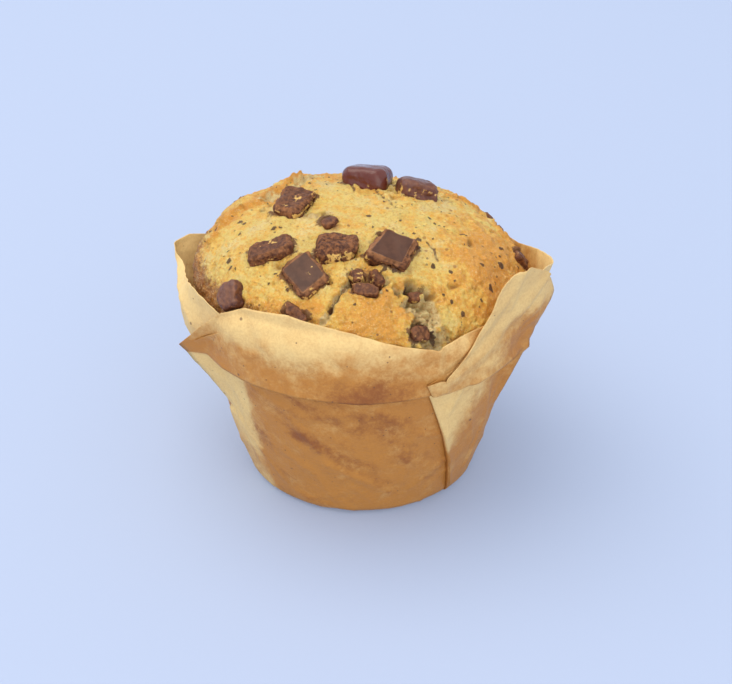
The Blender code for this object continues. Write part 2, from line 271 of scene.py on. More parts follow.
def fade(value, low, high):
    """1 below low, falling smoothly to 0 at high."""
    return 1.0 - smooth_step(value, low, high)


def lattice(cells, seed):
    """Repeatable random numbers from 0 to 1 at whole-number places."""
    mixed = cells[..., 0] * 374761393 + cells[..., 1] * 668265263 + cells[..., 2] * 1442695041
    mixed = (mixed + seed * 1013904223) & 0xFFFFFFFF
    mixed = ((mixed ^ (mixed >> 13)) * 1274126177) & 0xFFFFFFFF
    mixed = ((mixed ^ (mixed >> 16)) * 2246822519) & 0xFFFFFFFF
    return ((mixed ^ (mixed >> 15)) & 0xFFFFFF) / float(0xFFFFFF)


def soft_noise(points, size, seed):
    """Smooth noise from -1 to 1 at points (n, 3), with lumps of about that size."""
    scaled = points / size
    cell = np.floor(scaled).astype(np.int64)
    share = scaled - cell
    share = share * share * (3.0 - 2.0 * share)
    total = np.zeros(len(points))
    for corner in range(8):
        step = np.array([corner & 1, corner >> 1 & 1, corner >> 2 & 1])
        total += np.prod(np.where(step, share, 1.0 - share), axis=1) * lattice(cell + step, seed)
    return 2.0 * total - 1.0


def layered_noise(points, size, seed, octaves=3):
    """Noise with finer and finer layers, each half the size and half the strength of the last."""
    total = np.zeros(len(points))
    weight = 1.0
    for octave in range(octaves):
        total += weight * soft_noise(points, size * 0.5**octave, seed + octave)
        weight *= 0.5
    return total


def grain(points, size, seed):
    """Rounded grains: 1 at the middle of each grain and 0 in the gaps between them."""
    scaled = points / size
    cell = np.floor(scaled).astype(np.int64)
    nearest = np.full(len(points), 9.0)
    for offset in np.ndindex(3, 3, 3):
        near = cell + np.array(offset) - 1
        spot = np.stack([lattice(near, seed + axis) for axis in range(3)], axis=1)
        nearest = np.minimum(nearest, np.sum((near + spot - scaled) ** 2, axis=1))
    return np.clip(1.0 - nearest / 0.7, 0.0, 1.0)


def grid_faces(columns, rows):
    """Quads of a closed tube whose points run column after column within each row."""
    across = np.arange(columns)
    after = (across + 1) % columns
    faces = []
    for row in range(rows - 1):
        low = row * columns
        high = low + columns
        faces.append(np.stack([low + across, low + after, high + after, high + across], axis=1))
    return np.concatenate(faces)


def add_object(name, data):
    item = bpy.data.objects.new(name, data)
    bpy.context.scene.collection.objects.link(item)
    return item


def smooth_object(mesh, material):
    """A smooth object of that mesh and material, with the mesh's name."""
    mesh.shade_smooth()
    mesh.materials.append(material)
    return add_object(mesh.name, mesh)


def mesh_object(name, points, faces, material):
    mesh = bpy.data.meshes.new(name)
    mesh.from_pydata((points * MM).tolist(), [], [list(face) for face in faces])
    mesh.validate()
    return smooth_object(mesh, material)


def set_attributes(item, table):
    """One number per point for each name in the table, for the material to read."""
    for name, values in table.items():
        layer = item.data.attributes.new(name, "FLOAT", "POINT")
        layer.data.foreach_set("value", np.asarray(values, dtype=np.float32))


def set_uv(item, coordinates):
    """UV map named OFBake, from one (u, v) per point."""
    layer = item.data.uv_layers.new(name="OFBake")
    corner_points = np.empty(len(item.data.loops), dtype=np.int32)
    item.data.loops.foreach_get("vertex_index", corner_points)
    layer.data.foreach_set("uv", coordinates[corner_points].astype(np.float32).ravel())


def cup_axis():
    """Middle of the cup's base on the table, read from the CAD wrap, in millimetres."""
    wrap = NODES["paper_wrap"]
    points = np.array([wrap.matrix_world @ vert.co for vert in wrap.data.vertices]) / MM
    floor = points[points[:, 2] < 0.01]
    return 0.5 * (floor.min(axis=0) + floor.max(axis=0)) * np.array([1.0, 1.0, 0.0])


AXIS = cup_axis()


def cad_tree(name):
    node = NODES[name]
    points = [node.matrix_world @ vert.co for vert in node.data.vertices]
    return BVHTree.FromPolygons(points, [tuple(face.vertices) for face in node.data.polygons])


# ---------------- materials


def set_sockets(node, table):
    """Give each socket named in the table a value that is the same all over."""
    for name, value in table.items():
        node.inputs[name].default_value = value


class Shader:
    """A material's node tree, with one Principled shader and short ways to add to it."""

    def __init__(self, name):
        self.material = bpy.data.materials.new(name)
        self.material.use_nodes = True
        self.tree = self.material.node_tree
        self.principled = self.tree.nodes["Principled BSDF"]
        self.place = self.tree.nodes.new("ShaderNodeTexCoord").outputs["Object"]

    def link(self, source, target):
        self.tree.links.new(source, target)

    def fill(self, socket, value):
        if isinstance(value, bpy.types.NodeSocket):
            self.link(value, socket)
        else:
            socket.default_value = value

    def attribute(self, name):
        node = self.tree.nodes.new("ShaderNodeAttribute")
        node.attribute_name = name
        return node.outputs["Fac"]

    def noise(self, size, detail=4.0, rough=0.55):
        """Noise from 0 to 1 with lumps of about that size in millimetres."""
        node = self.tree.nodes.new("ShaderNodeTexNoise")
        node.inputs["Scale"].default_value = 1.0 / (size * MM)
        node.inputs["Detail"].default_value = detail
        node.inputs["Roughness"].default_value = rough
        self.link(self.place, node.inputs["Vector"])
        return node.outputs["Fac"]

    def cells(self, size):
        """Distance from the nearest of many scattered points, about that size apart in millimetres."""
        node = self.tree.nodes.new("ShaderNodeTexVoronoi")
        node.inputs["Scale"].default_value = 1.0 / (size * MM)
        self.link(self.place, node.inputs["Vector"])
        return node.outputs["Distance"]

    def math(self, operation, first, second):
        node = self.tree.nodes.new("ShaderNodeMath")
        node.operation = operation
        self.fill(node.inputs[0], first)
        self.fill(node.inputs[1], second)
        return node.outputs[0]

    def plus(self, first, second):
        return self.math("ADD", first, second)

    def times(self, first, second):
        return self.math("MULTIPLY", first, second)

    def ramp(self, value, low, high, start=0.0, end=1.0):
        """value mapped smoothly from low..high to start..end."""
        node = self.tree.nodes.new("ShaderNodeMapRange")
        node.interpolation_type = "SMOOTHSTEP"
        for name, number in (("From Min", low), ("From Max", high), ("To Min", start), ("To Max", end)):
            node.inputs[name].default_value = number
        self.link(value, node.inputs["Value"])
        return node.outputs["Result"]

    def vary(self, value, noise, most):
        """value raised or lowered by a noise, by at most that much."""
        return self.plus(value, self.ramp(noise, 0.3, 0.7, -most, most))

    def mix(self, share, first, second):
        node = self.tree.nodes.new("ShaderNodeMix")
        node.data_type = "RGBA"
        self.fill(node.inputs["Factor"], share)
        self.fill(node.inputs["A"], first)
        self.fill(node.inputs["B"], second)
        return node.outputs["Result"]

    def paint(self, colour, tint, value, low, high, most=1.0):
        """colour with a tint laid over it where value runs from low to high, at most that strongly."""
        return self.mix(self.ramp(value, low, high, 0.0, most), colour, tint)

    def bump(self, height, depth, strength, under=None):
        """A bump of that depth in millimetres, on top of an earlier one."""
        node = self.tree.nodes.new("ShaderNodeBump")
        node.inputs["Distance"].default_value = depth * MM
        node.inputs["Strength"].default_value = strength
        self.link(height, node.inputs["Height"])
        if under is not None:
            self.link(under, node.inputs["Normal"])
        return node.outputs["Normal"]

    def finish(self, colour, roughness, normal, even):
        """The finished material; even names the sockets whose value is the same all over."""
        self.link(colour, self.principled.inputs["Base Color"])
        self.link(roughness, self.principled.inputs["Roughness"])
        self.link(normal, self.principled.inputs["Normal"])
        set_sockets(self.principled, even)
        return self.material


CHOCOLATE_DARK = (0.055, 0.018, 0.010, 1.0)
CHOCOLATE_SMOOTH = (0.060, 0.024, 0.013, 1.0)
CHOCOLATE_BLOOM = (0.078, 0.032, 0.018, 1.0)
CHOCOLATE_ROUGH = (0.260, 0.098, 0.034, 1.0)
CHOCOLATE_FLECK = (0.085, 0.030, 0.014, 1.0)
CHOCOLATE_STAIN = (0.170, 0.062, 0.022, 1.0)
# Rim colour: partly wear, partly a painted highlight.
CHOCOLATE_RIM_WEAR_HIGHLIGHT = (0.400, 0.175, 0.065, 1.0)
CHOCOLATE_MELTED = (0.110, 0.022, 0.011, 1.0)
CAKE_CREAM = (0.90, 0.680, 0.300, 1.0)
CAKE_PALE = (0.92, 0.650, 0.170, 1.0)
# Painted glint on the tops of the crust's grains.
CAKE_PAINTED_GLINT = (1.00, 0.780, 0.400, 1.0)
CAKE_GOLD = (0.94, 0.540, 0.090, 1.0)
CAKE_TOAST = (0.86, 0.370, 0.045, 1.0)
CAKE_CRUST = (0.36, 0.115, 0.016, 1.0)
CAKE_TORN = (0.92, 0.680, 0.300, 1.0)
CRUMB_ON_CHOCOLATE = (0.66, 0.400, 0.110, 1.0)
# Painted shade in the gaps between the crust's grains.
CAKE_GAP_SHADE = (0.74, 0.350, 0.050, 1.0)
# Painted shade for pores, pits and hollows.
CAKE_PORE_SHADE = (0.36, 0.160, 0.034, 1.0)
PAPER_PALE = (0.81, 0.558, 0.225, 1.0)
PAPER_GREASY = (0.50, 0.205, 0.036, 1.0)
PAPER_DARK = (0.28, 0.088, 0.018, 1.0)
PAPER_FLECK = (0.10, 0.045, 0.030, 1.0)


def cake_material():
    shader = Shader("cake_crust")
    mottle = shader.noise(4.0)
    patches = shader.noise(7.0, 5.0, 0.65)
    fine = shader.noise(0.9, 6.0, 0.75)
    fine_grain_glint_shade = shader.noise(0.35, 3.0, 0.7)
    toast = shader.plus(shader.attribute("toast"), shader.ramp(mottle, 0.3, 0.7, -0.38, 0.60))
    toast = shader.vary(toast, fine, 0.45)
    colour = shader.paint(CAKE_PALE, CAKE_CREAM, patches, 0.48, 0.64, 0.7)
    colour = shader.paint(colour, CAKE_GOLD, toast, 0.0, 0.6)
    colour = shader.paint(colour, CAKE_TOAST, toast, 0.5, 1.2)
    crust = shader.vary(shader.attribute("crust"), fine, 0.3)
    colour = shader.paint(colour, CAKE_CRUST, crust, 0.3, 1.0)
    colour = shader.paint(colour, CAKE_TORN, shader.attribute("torn"), 0.1, 0.8)
    # Painted light on the crust's grain, from the same noises as its bumps: painted shade in the gaps
    # between grains and a painted highlight on their tops.
    grain_shade_highlight = shader.noise(0.55, 4.0, 0.75)
    colour = shader.paint(colour, CAKE_GAP_SHADE, grain_shade_highlight, 0.48, 0.36, 0.75)
    colour = shader.paint(colour, CAKE_CREAM, grain_shade_highlight, 0.54, 0.66, 0.50)
    colour = shader.paint(colour, CAKE_TOAST, fine_grain_glint_shade, 0.42, 0.30, 0.45)
    colour = shader.paint(colour, CAKE_PAINTED_GLINT, fine_grain_glint_shade, 0.57, 0.68, 0.60)
    # Painted shade in pores, and in the pits and hollows pressed into the crust.
    pore_shade = shader.ramp(shader.noise(1.3, 3.0, 0.7), 0.34, 0.26)
    colour = shader.mix(shader.times(pore_shade, 0.55), colour, CAKE_PORE_SHADE)
    colour = shader.paint(colour, CAKE_PORE_SHADE, shader.attribute("hollow_shade"), 0.0, 1.0, 0.85)
    crumbs = shader.ramp(shader.cells(1.9), 0.17, 0.10)
    crumbs = shader.times(crumbs, shader.ramp(shader.noise(5.0, 2.0), 0.47, 0.60))
    colour = shader.mix(shader.times(crumbs, 0.7), colour, CHOCOLATE_STAIN)
    embers = shader.ramp(shader.cells(2.7), 0.20, 0.08)
    embers = shader.times(embers, shader.ramp(patches, 0.44, 0.56))
    colour = shader.mix(shader.times(embers, 0.75), colour, CAKE_CRUST)
    smear = shader.vary(shader.attribute("smear"), fine, 0.35)
    colour = shader.paint(colour, CHOCOLATE_STAIN, smear, 0.3, 0.9, 0.9)
    fleck = shader.vary(shader.attribute("chocolate"), fine, 0.2)
    colour = shader.paint(colour, CHOCOLATE_FLECK, fleck, 0.40, 0.75, 0.90)
    normal = shader.bump(mottle, 1.6, 0.5)
    normal = shader.bump(fine, 1.20, 0.9, normal)
    normal = shader.bump(grain_shade_highlight, 0.45, 0.8, normal)
    normal = shader.bump(fine_grain_glint_shade, 0.25, 0.8, normal)
    roughness = shader.ramp(fine_grain_glint_shade, 0.25, 0.75, 0.28, 0.78)
    even = {"Specular IOR Level": 0.45, "Subsurface Weight": 0.08,
            "Subsurface Radius": (1.0, 0.45, 0.15), "Subsurface Scale": 1.2 * MM}
    return shader.finish(colour, roughness, normal, even)


def paper_material():
    shader = Shader("greaseproof_paper")
    blotch = shader.noise(6.0, 4.0, 0.6)
    fibre = shader.noise(0.5, 3.0, 0.6)
    cloud = shader.noise(2.0, 5.0, 0.7)
    crinkle = shader.cells(6.0)
    # The grease and stain attributes also carry painted shade in a few places.
    soaked = shader.attribute("grease")
    cloudy = shader.ramp(cloud, 0.3, 0.7, -0.12, 0.12)
    vary = shader.plus(shader.ramp(blotch, 0.3, 0.7, -0.18, 0.18), cloudy)
    vary = shader.times(vary, shader.ramp(soaked, 0.1, 0.6, 0.35, 1.0))
    grease = shader.plus(soaked, vary)
    colour = shader.paint(PAPER_PALE, PAPER_GREASY, grease, 0.0, 0.95)
    dark = shader.vary(shader.attribute("stain"), cloud, 0.22)
    colour = shader.paint(colour, PAPER_DARK, dark, 0.1, 1.1)
    colour = shader.paint(colour, PAPER_DARK, fibre, 0.35, 0.7, 0.12)
    specks = shader.ramp(shader.cells(2.2), 0.105, 0.05)
    specks = shader.times(specks, shader.ramp(shader.noise(7.0, 1.0), 0.42, 0.54))
    colour = shader.mix(shader.times(specks, 0.7), colour, PAPER_FLECK)
    blots = shader.ramp(shader.cells(8.0), 0.060, 0.03)
    colour = shader.mix(shader.times(blots, 0.7), colour, PAPER_FLECK)
    normal = shader.bump(crinkle, 0.8, 0.22)
    normal = shader.bump(cloud, 0.32, 0.6, normal)
    normal = shader.bump(fibre, 0.05, 0.6, normal)
    roughness = shader.ramp(grease, 0.1, 0.9, 0.62, 0.46)
    return shader.finish(colour, roughness, normal, {"Specular IOR Level": 0.30})


def chocolate_material(name, shine):
    shader = Shader(name)
    rough = shader.attribute("rough")
    fine = shader.noise(0.8, 5.0, 0.65)
    mottle = shader.noise(2.2, 3.0)
    colour = shader.paint(CHOCOLATE_SMOOTH, CHOCOLATE_BLOOM, mottle, 0.35, 0.65)
    broken = shader.paint(CHOCOLATE_DARK, CHOCOLATE_ROUGH, fine, 0.35, 0.65)
    colour = shader.mix(rough, colour, broken)
    colour = shader.mix(shader.attribute("melt"), colour, CHOCOLATE_MELTED)
    # Lighter rims on the chunks' edges: partly wear, partly a painted highlight.
    rim = shader.times(shader.attribute("rim"), shader.ramp(mottle, 0.3, 0.6, 0.3, 1.0))
    colour = shader.mix(rim, colour, CHOCOLATE_RIM_WEAR_HIGHLIGHT)
    patch = shader.vary(shader.attribute("crumb"), mottle, 0.40)
    patch = shader.vary(patch, fine, 0.30)
    colour = shader.paint(colour, CRUMB_ON_CHOCOLATE, patch, 0.78, 0.90, 0.9)
    normal = shader.bump(shader.times(fine, rough), 0.45, 0.8)
    normal = shader.bump(mottle, 0.06, 0.4, normal)
    gloss = shader.math("SUBTRACT", 0.40, shader.times(shader.attribute("melt"), 0.30))
    roughness = shader.plus(gloss, shader.times(rough, 0.22))
    return shader.finish(colour, roughness, normal, {"Specular IOR Level": shine})


# ---------------- cake


def lean(x, y):
    return CROWN_LEAN[0] * x + CROWN_LEAN[1] * y


def path_distance(x, y, path):
    """Distance from each place to a path of straight runs."""
    away = np.full(len(x), 99.0)
    for (ax, ay), (bx, by) in zip(path, path[1:]):
        run = np.array([bx - ax, by - ay])
        share = np.clip(((x - ax) * run[0] + (y - ay) * run[1]) / run.dot(run), 0.0, 1.0)
        away = np.minimum(away, np.hypot(x - ax - share * run[0], y - ay - share * run[1]))
    return away


def line_measure(x, y, lines):
    """Depth or height of the lines, and how far inside one each place is (0 outside, 1 in the middle)."""
    depth = np.zeros(len(x))
    inside = np.zeros(len(x))
    wander = on_plane(x, y)
    ragged = 1.0 + 0.7 * layered_noise(wander, 1.7, 77)
    ragged = np.maximum(ragged, 0.25)
    drift_x = 0.8 * layered_noise(wander, 2.4, 83)
    drift_y = 0.8 * layered_noise(wander, 2.4, 87)
    for path, half_width, deep in lines:
        ratio = path_distance(x + drift_x, y + drift_y, path) / (half_width * ragged)
        depth += deep * np.exp(-(ratio**4))
        inside = np.maximum(inside, smooth_step(-ratio, -1.25, -0.75))
    return depth, inside


def fleck_measure(x, y):
    """How much each place is covered by a chocolate fleck, from 0 to 1."""
    random.seed(8)
    flecks = list(FLECKS)
    for _index in range(LOOSE_FLECKS):
        radius = 33.0 * math.sqrt(random.random())
        turn = random.uniform(0.0, 2.0 * math.pi)
        size = random.choice((0.22, 0.26, 0.30, 0.38))
        flecks.append((radius * math.sin(turn), radius * math.cos(turn), size))
    wander = on_plane(x, y)
    ragged = 1.0 + 0.4 * layered_noise(wander, 0.8, 97)
    cover = np.zeros(len(x))
    for centre_x, centre_y, size in flecks:
        away = np.hypot(x - centre_x, y - centre_y) / (0.8 * size * ragged)
        cover = np.maximum(cover, smooth_step(-away, -1.35, -0.75))
    return cover


def spots(x, y, table):
    total = np.zeros(len(x))
    for centre_x, centre_y, radius, strength in table:
        away = np.hypot(x - centre_x, y - centre_y) / radius
        total += strength * np.exp(-away * away)
    return total


def cup_radius(height):
    return BASE_RADIUS + (TIN_RADIUS - BASE_RADIUS) * np.clip(height / TIN_HEIGHT, 0.0, 1.0)


def crown_points(angle, share):
    """Smooth crown: share 0 is its widest ring and 1 its middle."""
    radius = CROWN_RADIUS * np.cos(0.5 * np.pi * share) ** 0.8
    x = CROWN_CENTRE[0] + np.sin(angle) * radius
    y = CROWN_CENTRE[1] - np.cos(angle) * radius
    rise = CROWN_RISE * (1.0 - (radius / CROWN_RADIUS) ** CROWN_POWER) ** CROWN_ROUND
    return np.stack([x, y, CROWN_BASE + rise + lean(x, y) + spots(x, y, LUMPS)], axis=-1)


def wall_points(angle, share):
    """Side of the cake under the collar: share 0 is the base's edge and 1 the crown's widest ring."""
    ring = crown_points(angle, np.zeros_like(angle))
    height = CAKE_INSET + (ring[..., 2] - CAKE_INSET) * share
    above = np.clip((height - TIN_HEIGHT) / (ring[..., 2] - TIN_HEIGHT), 0.0, 1.0)
    fillet = BASE_FILLET * np.clip(1.0 - share / 0.04, 0.0, 1.0) ** 2
    radius = cup_radius(height) - CAKE_INSET - fillet
    x = np.sin(angle) * radius * (1.0 - above) + ring[..., 0] * above
    y = -np.cos(angle) * radius * (1.0 - above) + ring[..., 1] * above
    return np.stack([x, y, height], axis=-1)


def cake_base_grid():
    """Smooth cake as rows of rings, bottom to top, with each point's outward direction."""
    angle = 2.0 * np.pi * np.arange(CROWN_COLUMNS) / CROWN_COLUMNS
    rows = []
    for share in np.linspace(0.0, 1.0, WALL_ROWS, endpoint=False):
        rows.append(wall_points(angle, np.full(CROWN_COLUMNS, share)))
    for share in np.linspace(0.0, 0.995, CROWN_ROWS):
        rows.append(crown_points(angle, np.full(CROWN_COLUMNS, share)))
    grid = np.array(rows)
    across = np.roll(grid, -1, axis=1) - np.roll(grid, 1, axis=1)
    up = np.gradient(grid, axis=0)
    normal = np.cross(across, up)
    normal /= np.linalg.norm(normal, axis=2, keepdims=True) + 1e-9
    return grid, normal


def chunk_distance(points, reach):
    """Distance from each point to the nearest chunk's skin, negative inside it."""
    result = np.full(len(points), reach)
    for name in CHUNK_NAMES:
        low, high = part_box(name)
        low = np.array(low) / MM - reach
        high = np.array(high) / MM + reach
        near = np.nonzero(np.all((points > low) & (points < high), axis=1))[0]
        tree = cad_tree(name)
        for index in near:
            point = Vector(points[index]) * MM
            spot, normal, _face, away = tree.find_nearest(point)
            sign = 1.0 if (point - spot).dot(normal) > 0.0 else -1.0
            result[index] = min(result[index], sign * away / MM)
    return result


def crown_facts(points, world):
    """What shapes and colours each place on the crown, given in the cup's frame and in the world's."""
    x, y = points[:, 0], points[:, 1]
    facts = SimpleNamespace(x=x, y=y)
    facts.depth, facts.torn = line_measure(x, y, SPLITS)
    facts.flap, facts.ridge = line_measure(x, y, FLAPS)
    facts.flecks = fleck_measure(x, y)
    hairline = np.min([path_distance(x, y, path) for path in HAIRLINES], axis=0)
    facts.hairline = smooth_step(-hairline, -0.5, -0.2)
    facts.chunk = chunk_distance(world, CHUNK_REACH)
    facts.outside = np.clip(facts.chunk, 0.0, CHUNK_REACH)
    facts.seam = np.exp(-((facts.outside / CHUNK_SEAM_WIDTH) ** 2))
    facts.lump = layered_noise(points, LUMP_SIZE, 11)
    facts.knob = layered_noise(points, KNOB_SIZE, 23, 2)
    facts.grit = layered_noise(points, GRIT_SIZE, 71, 2)
    facts.shreds = layered_noise(points, TORN_SIZE, 79, 2)
    facts.pebble = grain(points, PEBBLE_SIZE, 31)
    facts.crumb = grain(points, CRUMB_SIZE, 41)
    facts.broken = smooth_step(layered_noise(points, 5.0, 51), 0.15, 0.8)
    facts.rugged = np.clip(facts.torn + 0.7 * facts.broken, 0.0, 1.0)
    facts.pit = smooth_step(soft_noise(points, PIT_SIZE, 61), 0.50, 0.85)
    facts.cave = spots(x, y, HOLLOWS)
    return facts


def crown_shift(facts):
    """How far each place is pushed out along its normal, in millimetres."""
    torn, pebble, knob = facts.torn, facts.pebble, facts.knob
    shift = LUMP_DEPTH * facts.lump + KNOB_DEPTH * knob * (0.6 + 0.8 * facts.rugged)
    shift += PEBBLE_DEPTH * (pebble - 0.4) * (0.2 + facts.rugged)
    shift += CRUMB_DEPTH * (facts.crumb - 0.4) + GRIT_DEPTH * facts.grit
    shift -= facts.pit * (0.25 + 1.1 * facts.rugged)
    shift -= facts.depth * (0.75 + 0.5 * facts.crumb) + torn * (0.9 * (0.5 - pebble) + 0.4 * knob)
    shift += TORN_DEPTH * torn * facts.shreds
    shift += facts.flap * (0.4 + 0.9 * pebble) + 0.25 * facts.flecks - 0.3 * facts.hairline
    rim = np.exp(-facts.outside / CHUNK_RIM_WIDTH) * np.clip(0.75 + 1.1 * knob, 0.0, 1.6)
    shift += CHUNK_RIM_HEIGHT * rim - 0.45 * facts.seam
    shift -= 1.1 * smooth_step(-facts.chunk, 0.0, 0.6)
    return shift - 0.9 * facts.cave


def crown_colours(facts):
    """The attributes that the cake's material reads, by name."""
    away = np.hypot(facts.x, facts.y)
    edge = smooth_step(away, 29.0, 35.2)
    rim = smooth_step(away, 32.0, 35.2)
    toast = 0.02 + spots(facts.x, facts.y, TOASTED) + 0.30 * edge + 0.20 * facts.lump
    toast += 0.6 * facts.ridge + 0.3 * facts.broken
    crust = 1.1 * rim * smooth_step(-facts.x - 0.5 * facts.y, 16.0, 28.0)
    crust += 0.4 * rim * smooth_step(facts.y, 0.0, 20.0) + 0.35 * facts.ridge * (1.0 - facts.pebble)
    # Painted shade in the pits and hollows of the crust.
    hollow_shade = np.clip(0.9 * facts.pit * (0.35 + facts.rugged) + 1.2 * facts.cave, 0.0, 1.0)
    near = smooth_step(-facts.outside, -1.6, -0.1)
    smear = near * smooth_step(facts.knob, -0.15, 0.6) + 0.6 * facts.seam
    smear = np.maximum(smear, 0.8 * facts.hairline)
    return {"toast": toast, "crust": crust, "torn": facts.torn, "hollow_shade": hollow_shade,
            "smear": smear, "chocolate": facts.flecks}


def build_cake(material):
    grid, normal = cake_base_grid()
    points = grid.reshape(-1, 3)
    rows = len(grid)
    on_crown = smooth_step(np.repeat(np.arange(rows), CROWN_COLUMNS), WALL_ROWS - 2, WALL_ROWS + 10)
    facts = crown_facts(points, points + AXIS)
    values = crown_colours(facts)
    for name in ("smear", "chocolate"):
        values[name] = values[name] * on_crown
    moved = points + normal.reshape(-1, 3) * (crown_shift(facts) * on_crown)[:, None]
    centre = np.array([[0.0, 0.0, CAKE_INSET]])
    top = moved[-CROWN_COLUMNS:].mean(axis=0, keepdims=True)
    quads = grid_faces(CROWN_COLUMNS, rows).tolist()
    bottom, peak = len(moved), len(moved) + 1
    last = (rows - 1) * CROWN_COLUMNS
    for index in range(CROWN_COLUMNS):
        after = (index + 1) % CROWN_COLUMNS
        quads.append([after, index, bottom])
        quads.append([last + index, last + after, peak])
    cake = mesh_object("cake", np.concatenate([moved, centre, top]) + AXIS, quads, material)
    set_attributes(cake, {name: np.append(numbers, [0.0, 0.0]) for name, numbers in values.items()})
    polar = np.linspace(1.0, 0.0, rows) ** 0.9
    angle = np.arctan2(points[:, 0], points[:, 1])
    radius = 0.49 * np.repeat(polar, CROWN_COLUMNS)
    uv = np.stack([0.5 + radius * np.sin(angle), 0.5 + radius * np.cos(angle)], axis=1)
    set_uv(cake, np.concatenate([uv, [[0.99, 0.99], [0.5, 0.5]]]))
    return cake


# ---------------- paper


def cake_reach(angle, height):
    """Distance from the axis to the side of the crown at one angle (radians) and height."""
    across, along = np.sin(angle), -np.cos(angle)
    above = (height - CROWN_BASE - lean(across * CROWN_RADIUS, along * CROWN_RADIUS)) / CROWN_RISE
    shrink = 1.0 - np.clip(above, 0.0, 1.0) ** (1.0 / CROWN_ROUND)
    reach = CROWN_RADIUS * shrink ** (1.0 / CROWN_POWER)
    return reach + across * CROWN_CENTRE[0] + along * CROWN_CENTRE[1]


def paper_stations():
    """One row per station: base and rim angle, layer, rim radius and height, section, share along it."""
    stations = []
    for number, (_name, base, layers, rim) in enumerate(PAPER_PATH):
        angles, radii, heights = np.array(rim).T
        count = max(6, int(round(abs(angles[-1] - angles[0]) / PAPER_STEP)))
        order = 1 if angles[-1] > angles[0] else -1
        for index in range(count):
            share = (index + 0.5) / count
            angle = angles[0] + (angles[-1] - angles[0]) * share
            radius = np.interp(angle, angles[::order], radii[::order])
            height = np.interp(angle, angles[::order], heights[::order])
            ease = share * share * (3.0 - 2.0 * share)
            layer = layers[0] + (layers[1] - layers[0]) * min(1.0, 2.4 * ease)
            station = (base[0] + (base[1] - base[0]) * share, angle, layer, radius, height, number, share)
            stations.append(station)
    return np.array(stations)


def paper_rows():
    """Places up the sheet: kind 0 is the base, 1 the cup's wall and 2 the collar, each with a share."""
    rows = [(0, share) for share in (0.05, 0.3, 0.6, 0.85, 0.96)]
    rows += [(1, share) for share in np.linspace(0.0, 1.0, 50)]
    rows += [(2, share) for share in (0.0, 0.03, 0.07, 0.12, 0.18)]
    rows += [(2, share) for share in np.linspace(0.24, 1.0, 28)]
    return rows


def left_fold(angle, height, rim_height):
    """How far the left side stands out at its fold, fading to the rim above and the cup below."""
    turns, levels, reaches = np.array(LEFT_FOLD).T
    level = np.interp(angle, turns, levels)
    out = np.interp(angle, turns, reaches)
    above = (rim_height - height) / np.maximum(rim_height - level, 1.2)
    below = (height - 25.0) / (level - 25.0)
    return out * np.clip(np.minimum(above, below), 0.0, 1.0)


def sheet_radius(kind, share, height, rim_radius, rim_height, rim_angle):
    """Distance of the innermost layer from the axis at each station of one row."""
    if kind == 1:
        fillet = BASE_FILLET * np.clip(1.0 - height / BASE_FILLET, 0.0, 1.0) ** 2
        pinch = 0.25 * smooth_step(height, TIN_HEIGHT - 1.0, TIN_HEIGHT)
        full = CUP_BULGE * np.sin(np.pi * height / TIN_HEIGHT)
        radius = cup_radius(height) + full - fillet - 0.12 - pinch
    else:
        lip = TIN_RADIUS + COLLAR_LIP * smooth_step(share, 0.0, 0.10)
        straight = lip + (rim_radius - lip) * share
        radius = np.maximum(straight, cake_reach(np.radians(rim_angle), height) + 0.75)
    for angle, reach, start, power in FLARES:
        climb = np.clip((height - start) / (rim_height - start), 0.0, 1.0)
        flared = cup_radius(start) + (rim_radius - cup_radius(start)) * climb**power
        weight = np.exp(-(((rim_angle - angle) / reach) ** 2)) * (climb > 0.0)
        radius = radius + np.maximum(flared - radius, -0.6) * weight
    return radius


def fold_measure(angle, height, outer):
    """Outward push of the sharp folds at each place, given its angle in degrees."""
    random.seed(21)
    folds = list(FOLDS)
    for _index in range(LOOSE_FOLDS):
        middle = random.uniform(-180.0, 180.0)
        level = random.uniform(1.0, 46.0)
        slope = random.uniform(0.3, 2.8) * random.choice((1.0, -1.0, -1.0))
        reach = random.uniform(3.0, 9.0)
        turn = math.degrees(reach * math.cos(slope) / 33.0)
        rise = reach * math.sin(slope)
        path = ((middle - turn, level - rise), (middle + turn, level + rise))
        folds.append((path, random.uniform(0.8, 2.0), random.uniform(0.10, 0.34)))
    push = np.zeros(len(angle))
    for path, half_width, high in folds:
        flat = [(turn * MM_PER_DEGREE, level) for turn, level in path]
        away = path_distance(angle * MM_PER_DEGREE, height, flat)
        push = np.maximum(push, high * np.clip(1.0 - away / half_width, 0.0, 1.0))
    return push * outer


def in_section(section, name):
    return section == SECTION_NAMES.index(name)


def sheet_noise(angle, height):
    """Slow drift, gentle waves and slanting streaks over the sheet."""
    around = angle * MM_PER_DEGREE
    spread = on_plane(around, height)
    slanted = on_plane(around * 0.87 - height * 0.50, (height * 0.87 + around * 0.50) * 4.5)
    waves = 1.6 * layered_noise(spread, 6.0, 205)
    return layered_noise(spread, 9.0, 201), waves, layered_noise(slanted, 11.0, 211)


def cup_stain(angle, height, drift, streak, crease):
    """Dark stain of the pressed cup: streaks, creases, a paler foot and one blot."""
    blot = np.hypot((angle + 25.0) * 0.59, (height - 23.0) * 1.4)
    stain = 0.18 + 0.38 * streak + 0.16 * drift - 0.15 * fade(height, 6.0, 16.0)
    return stain + 0.22 * smooth_step(crease, 0.12, 0.30) + 0.7 * np.exp(-((blot / 1.7) ** 2))


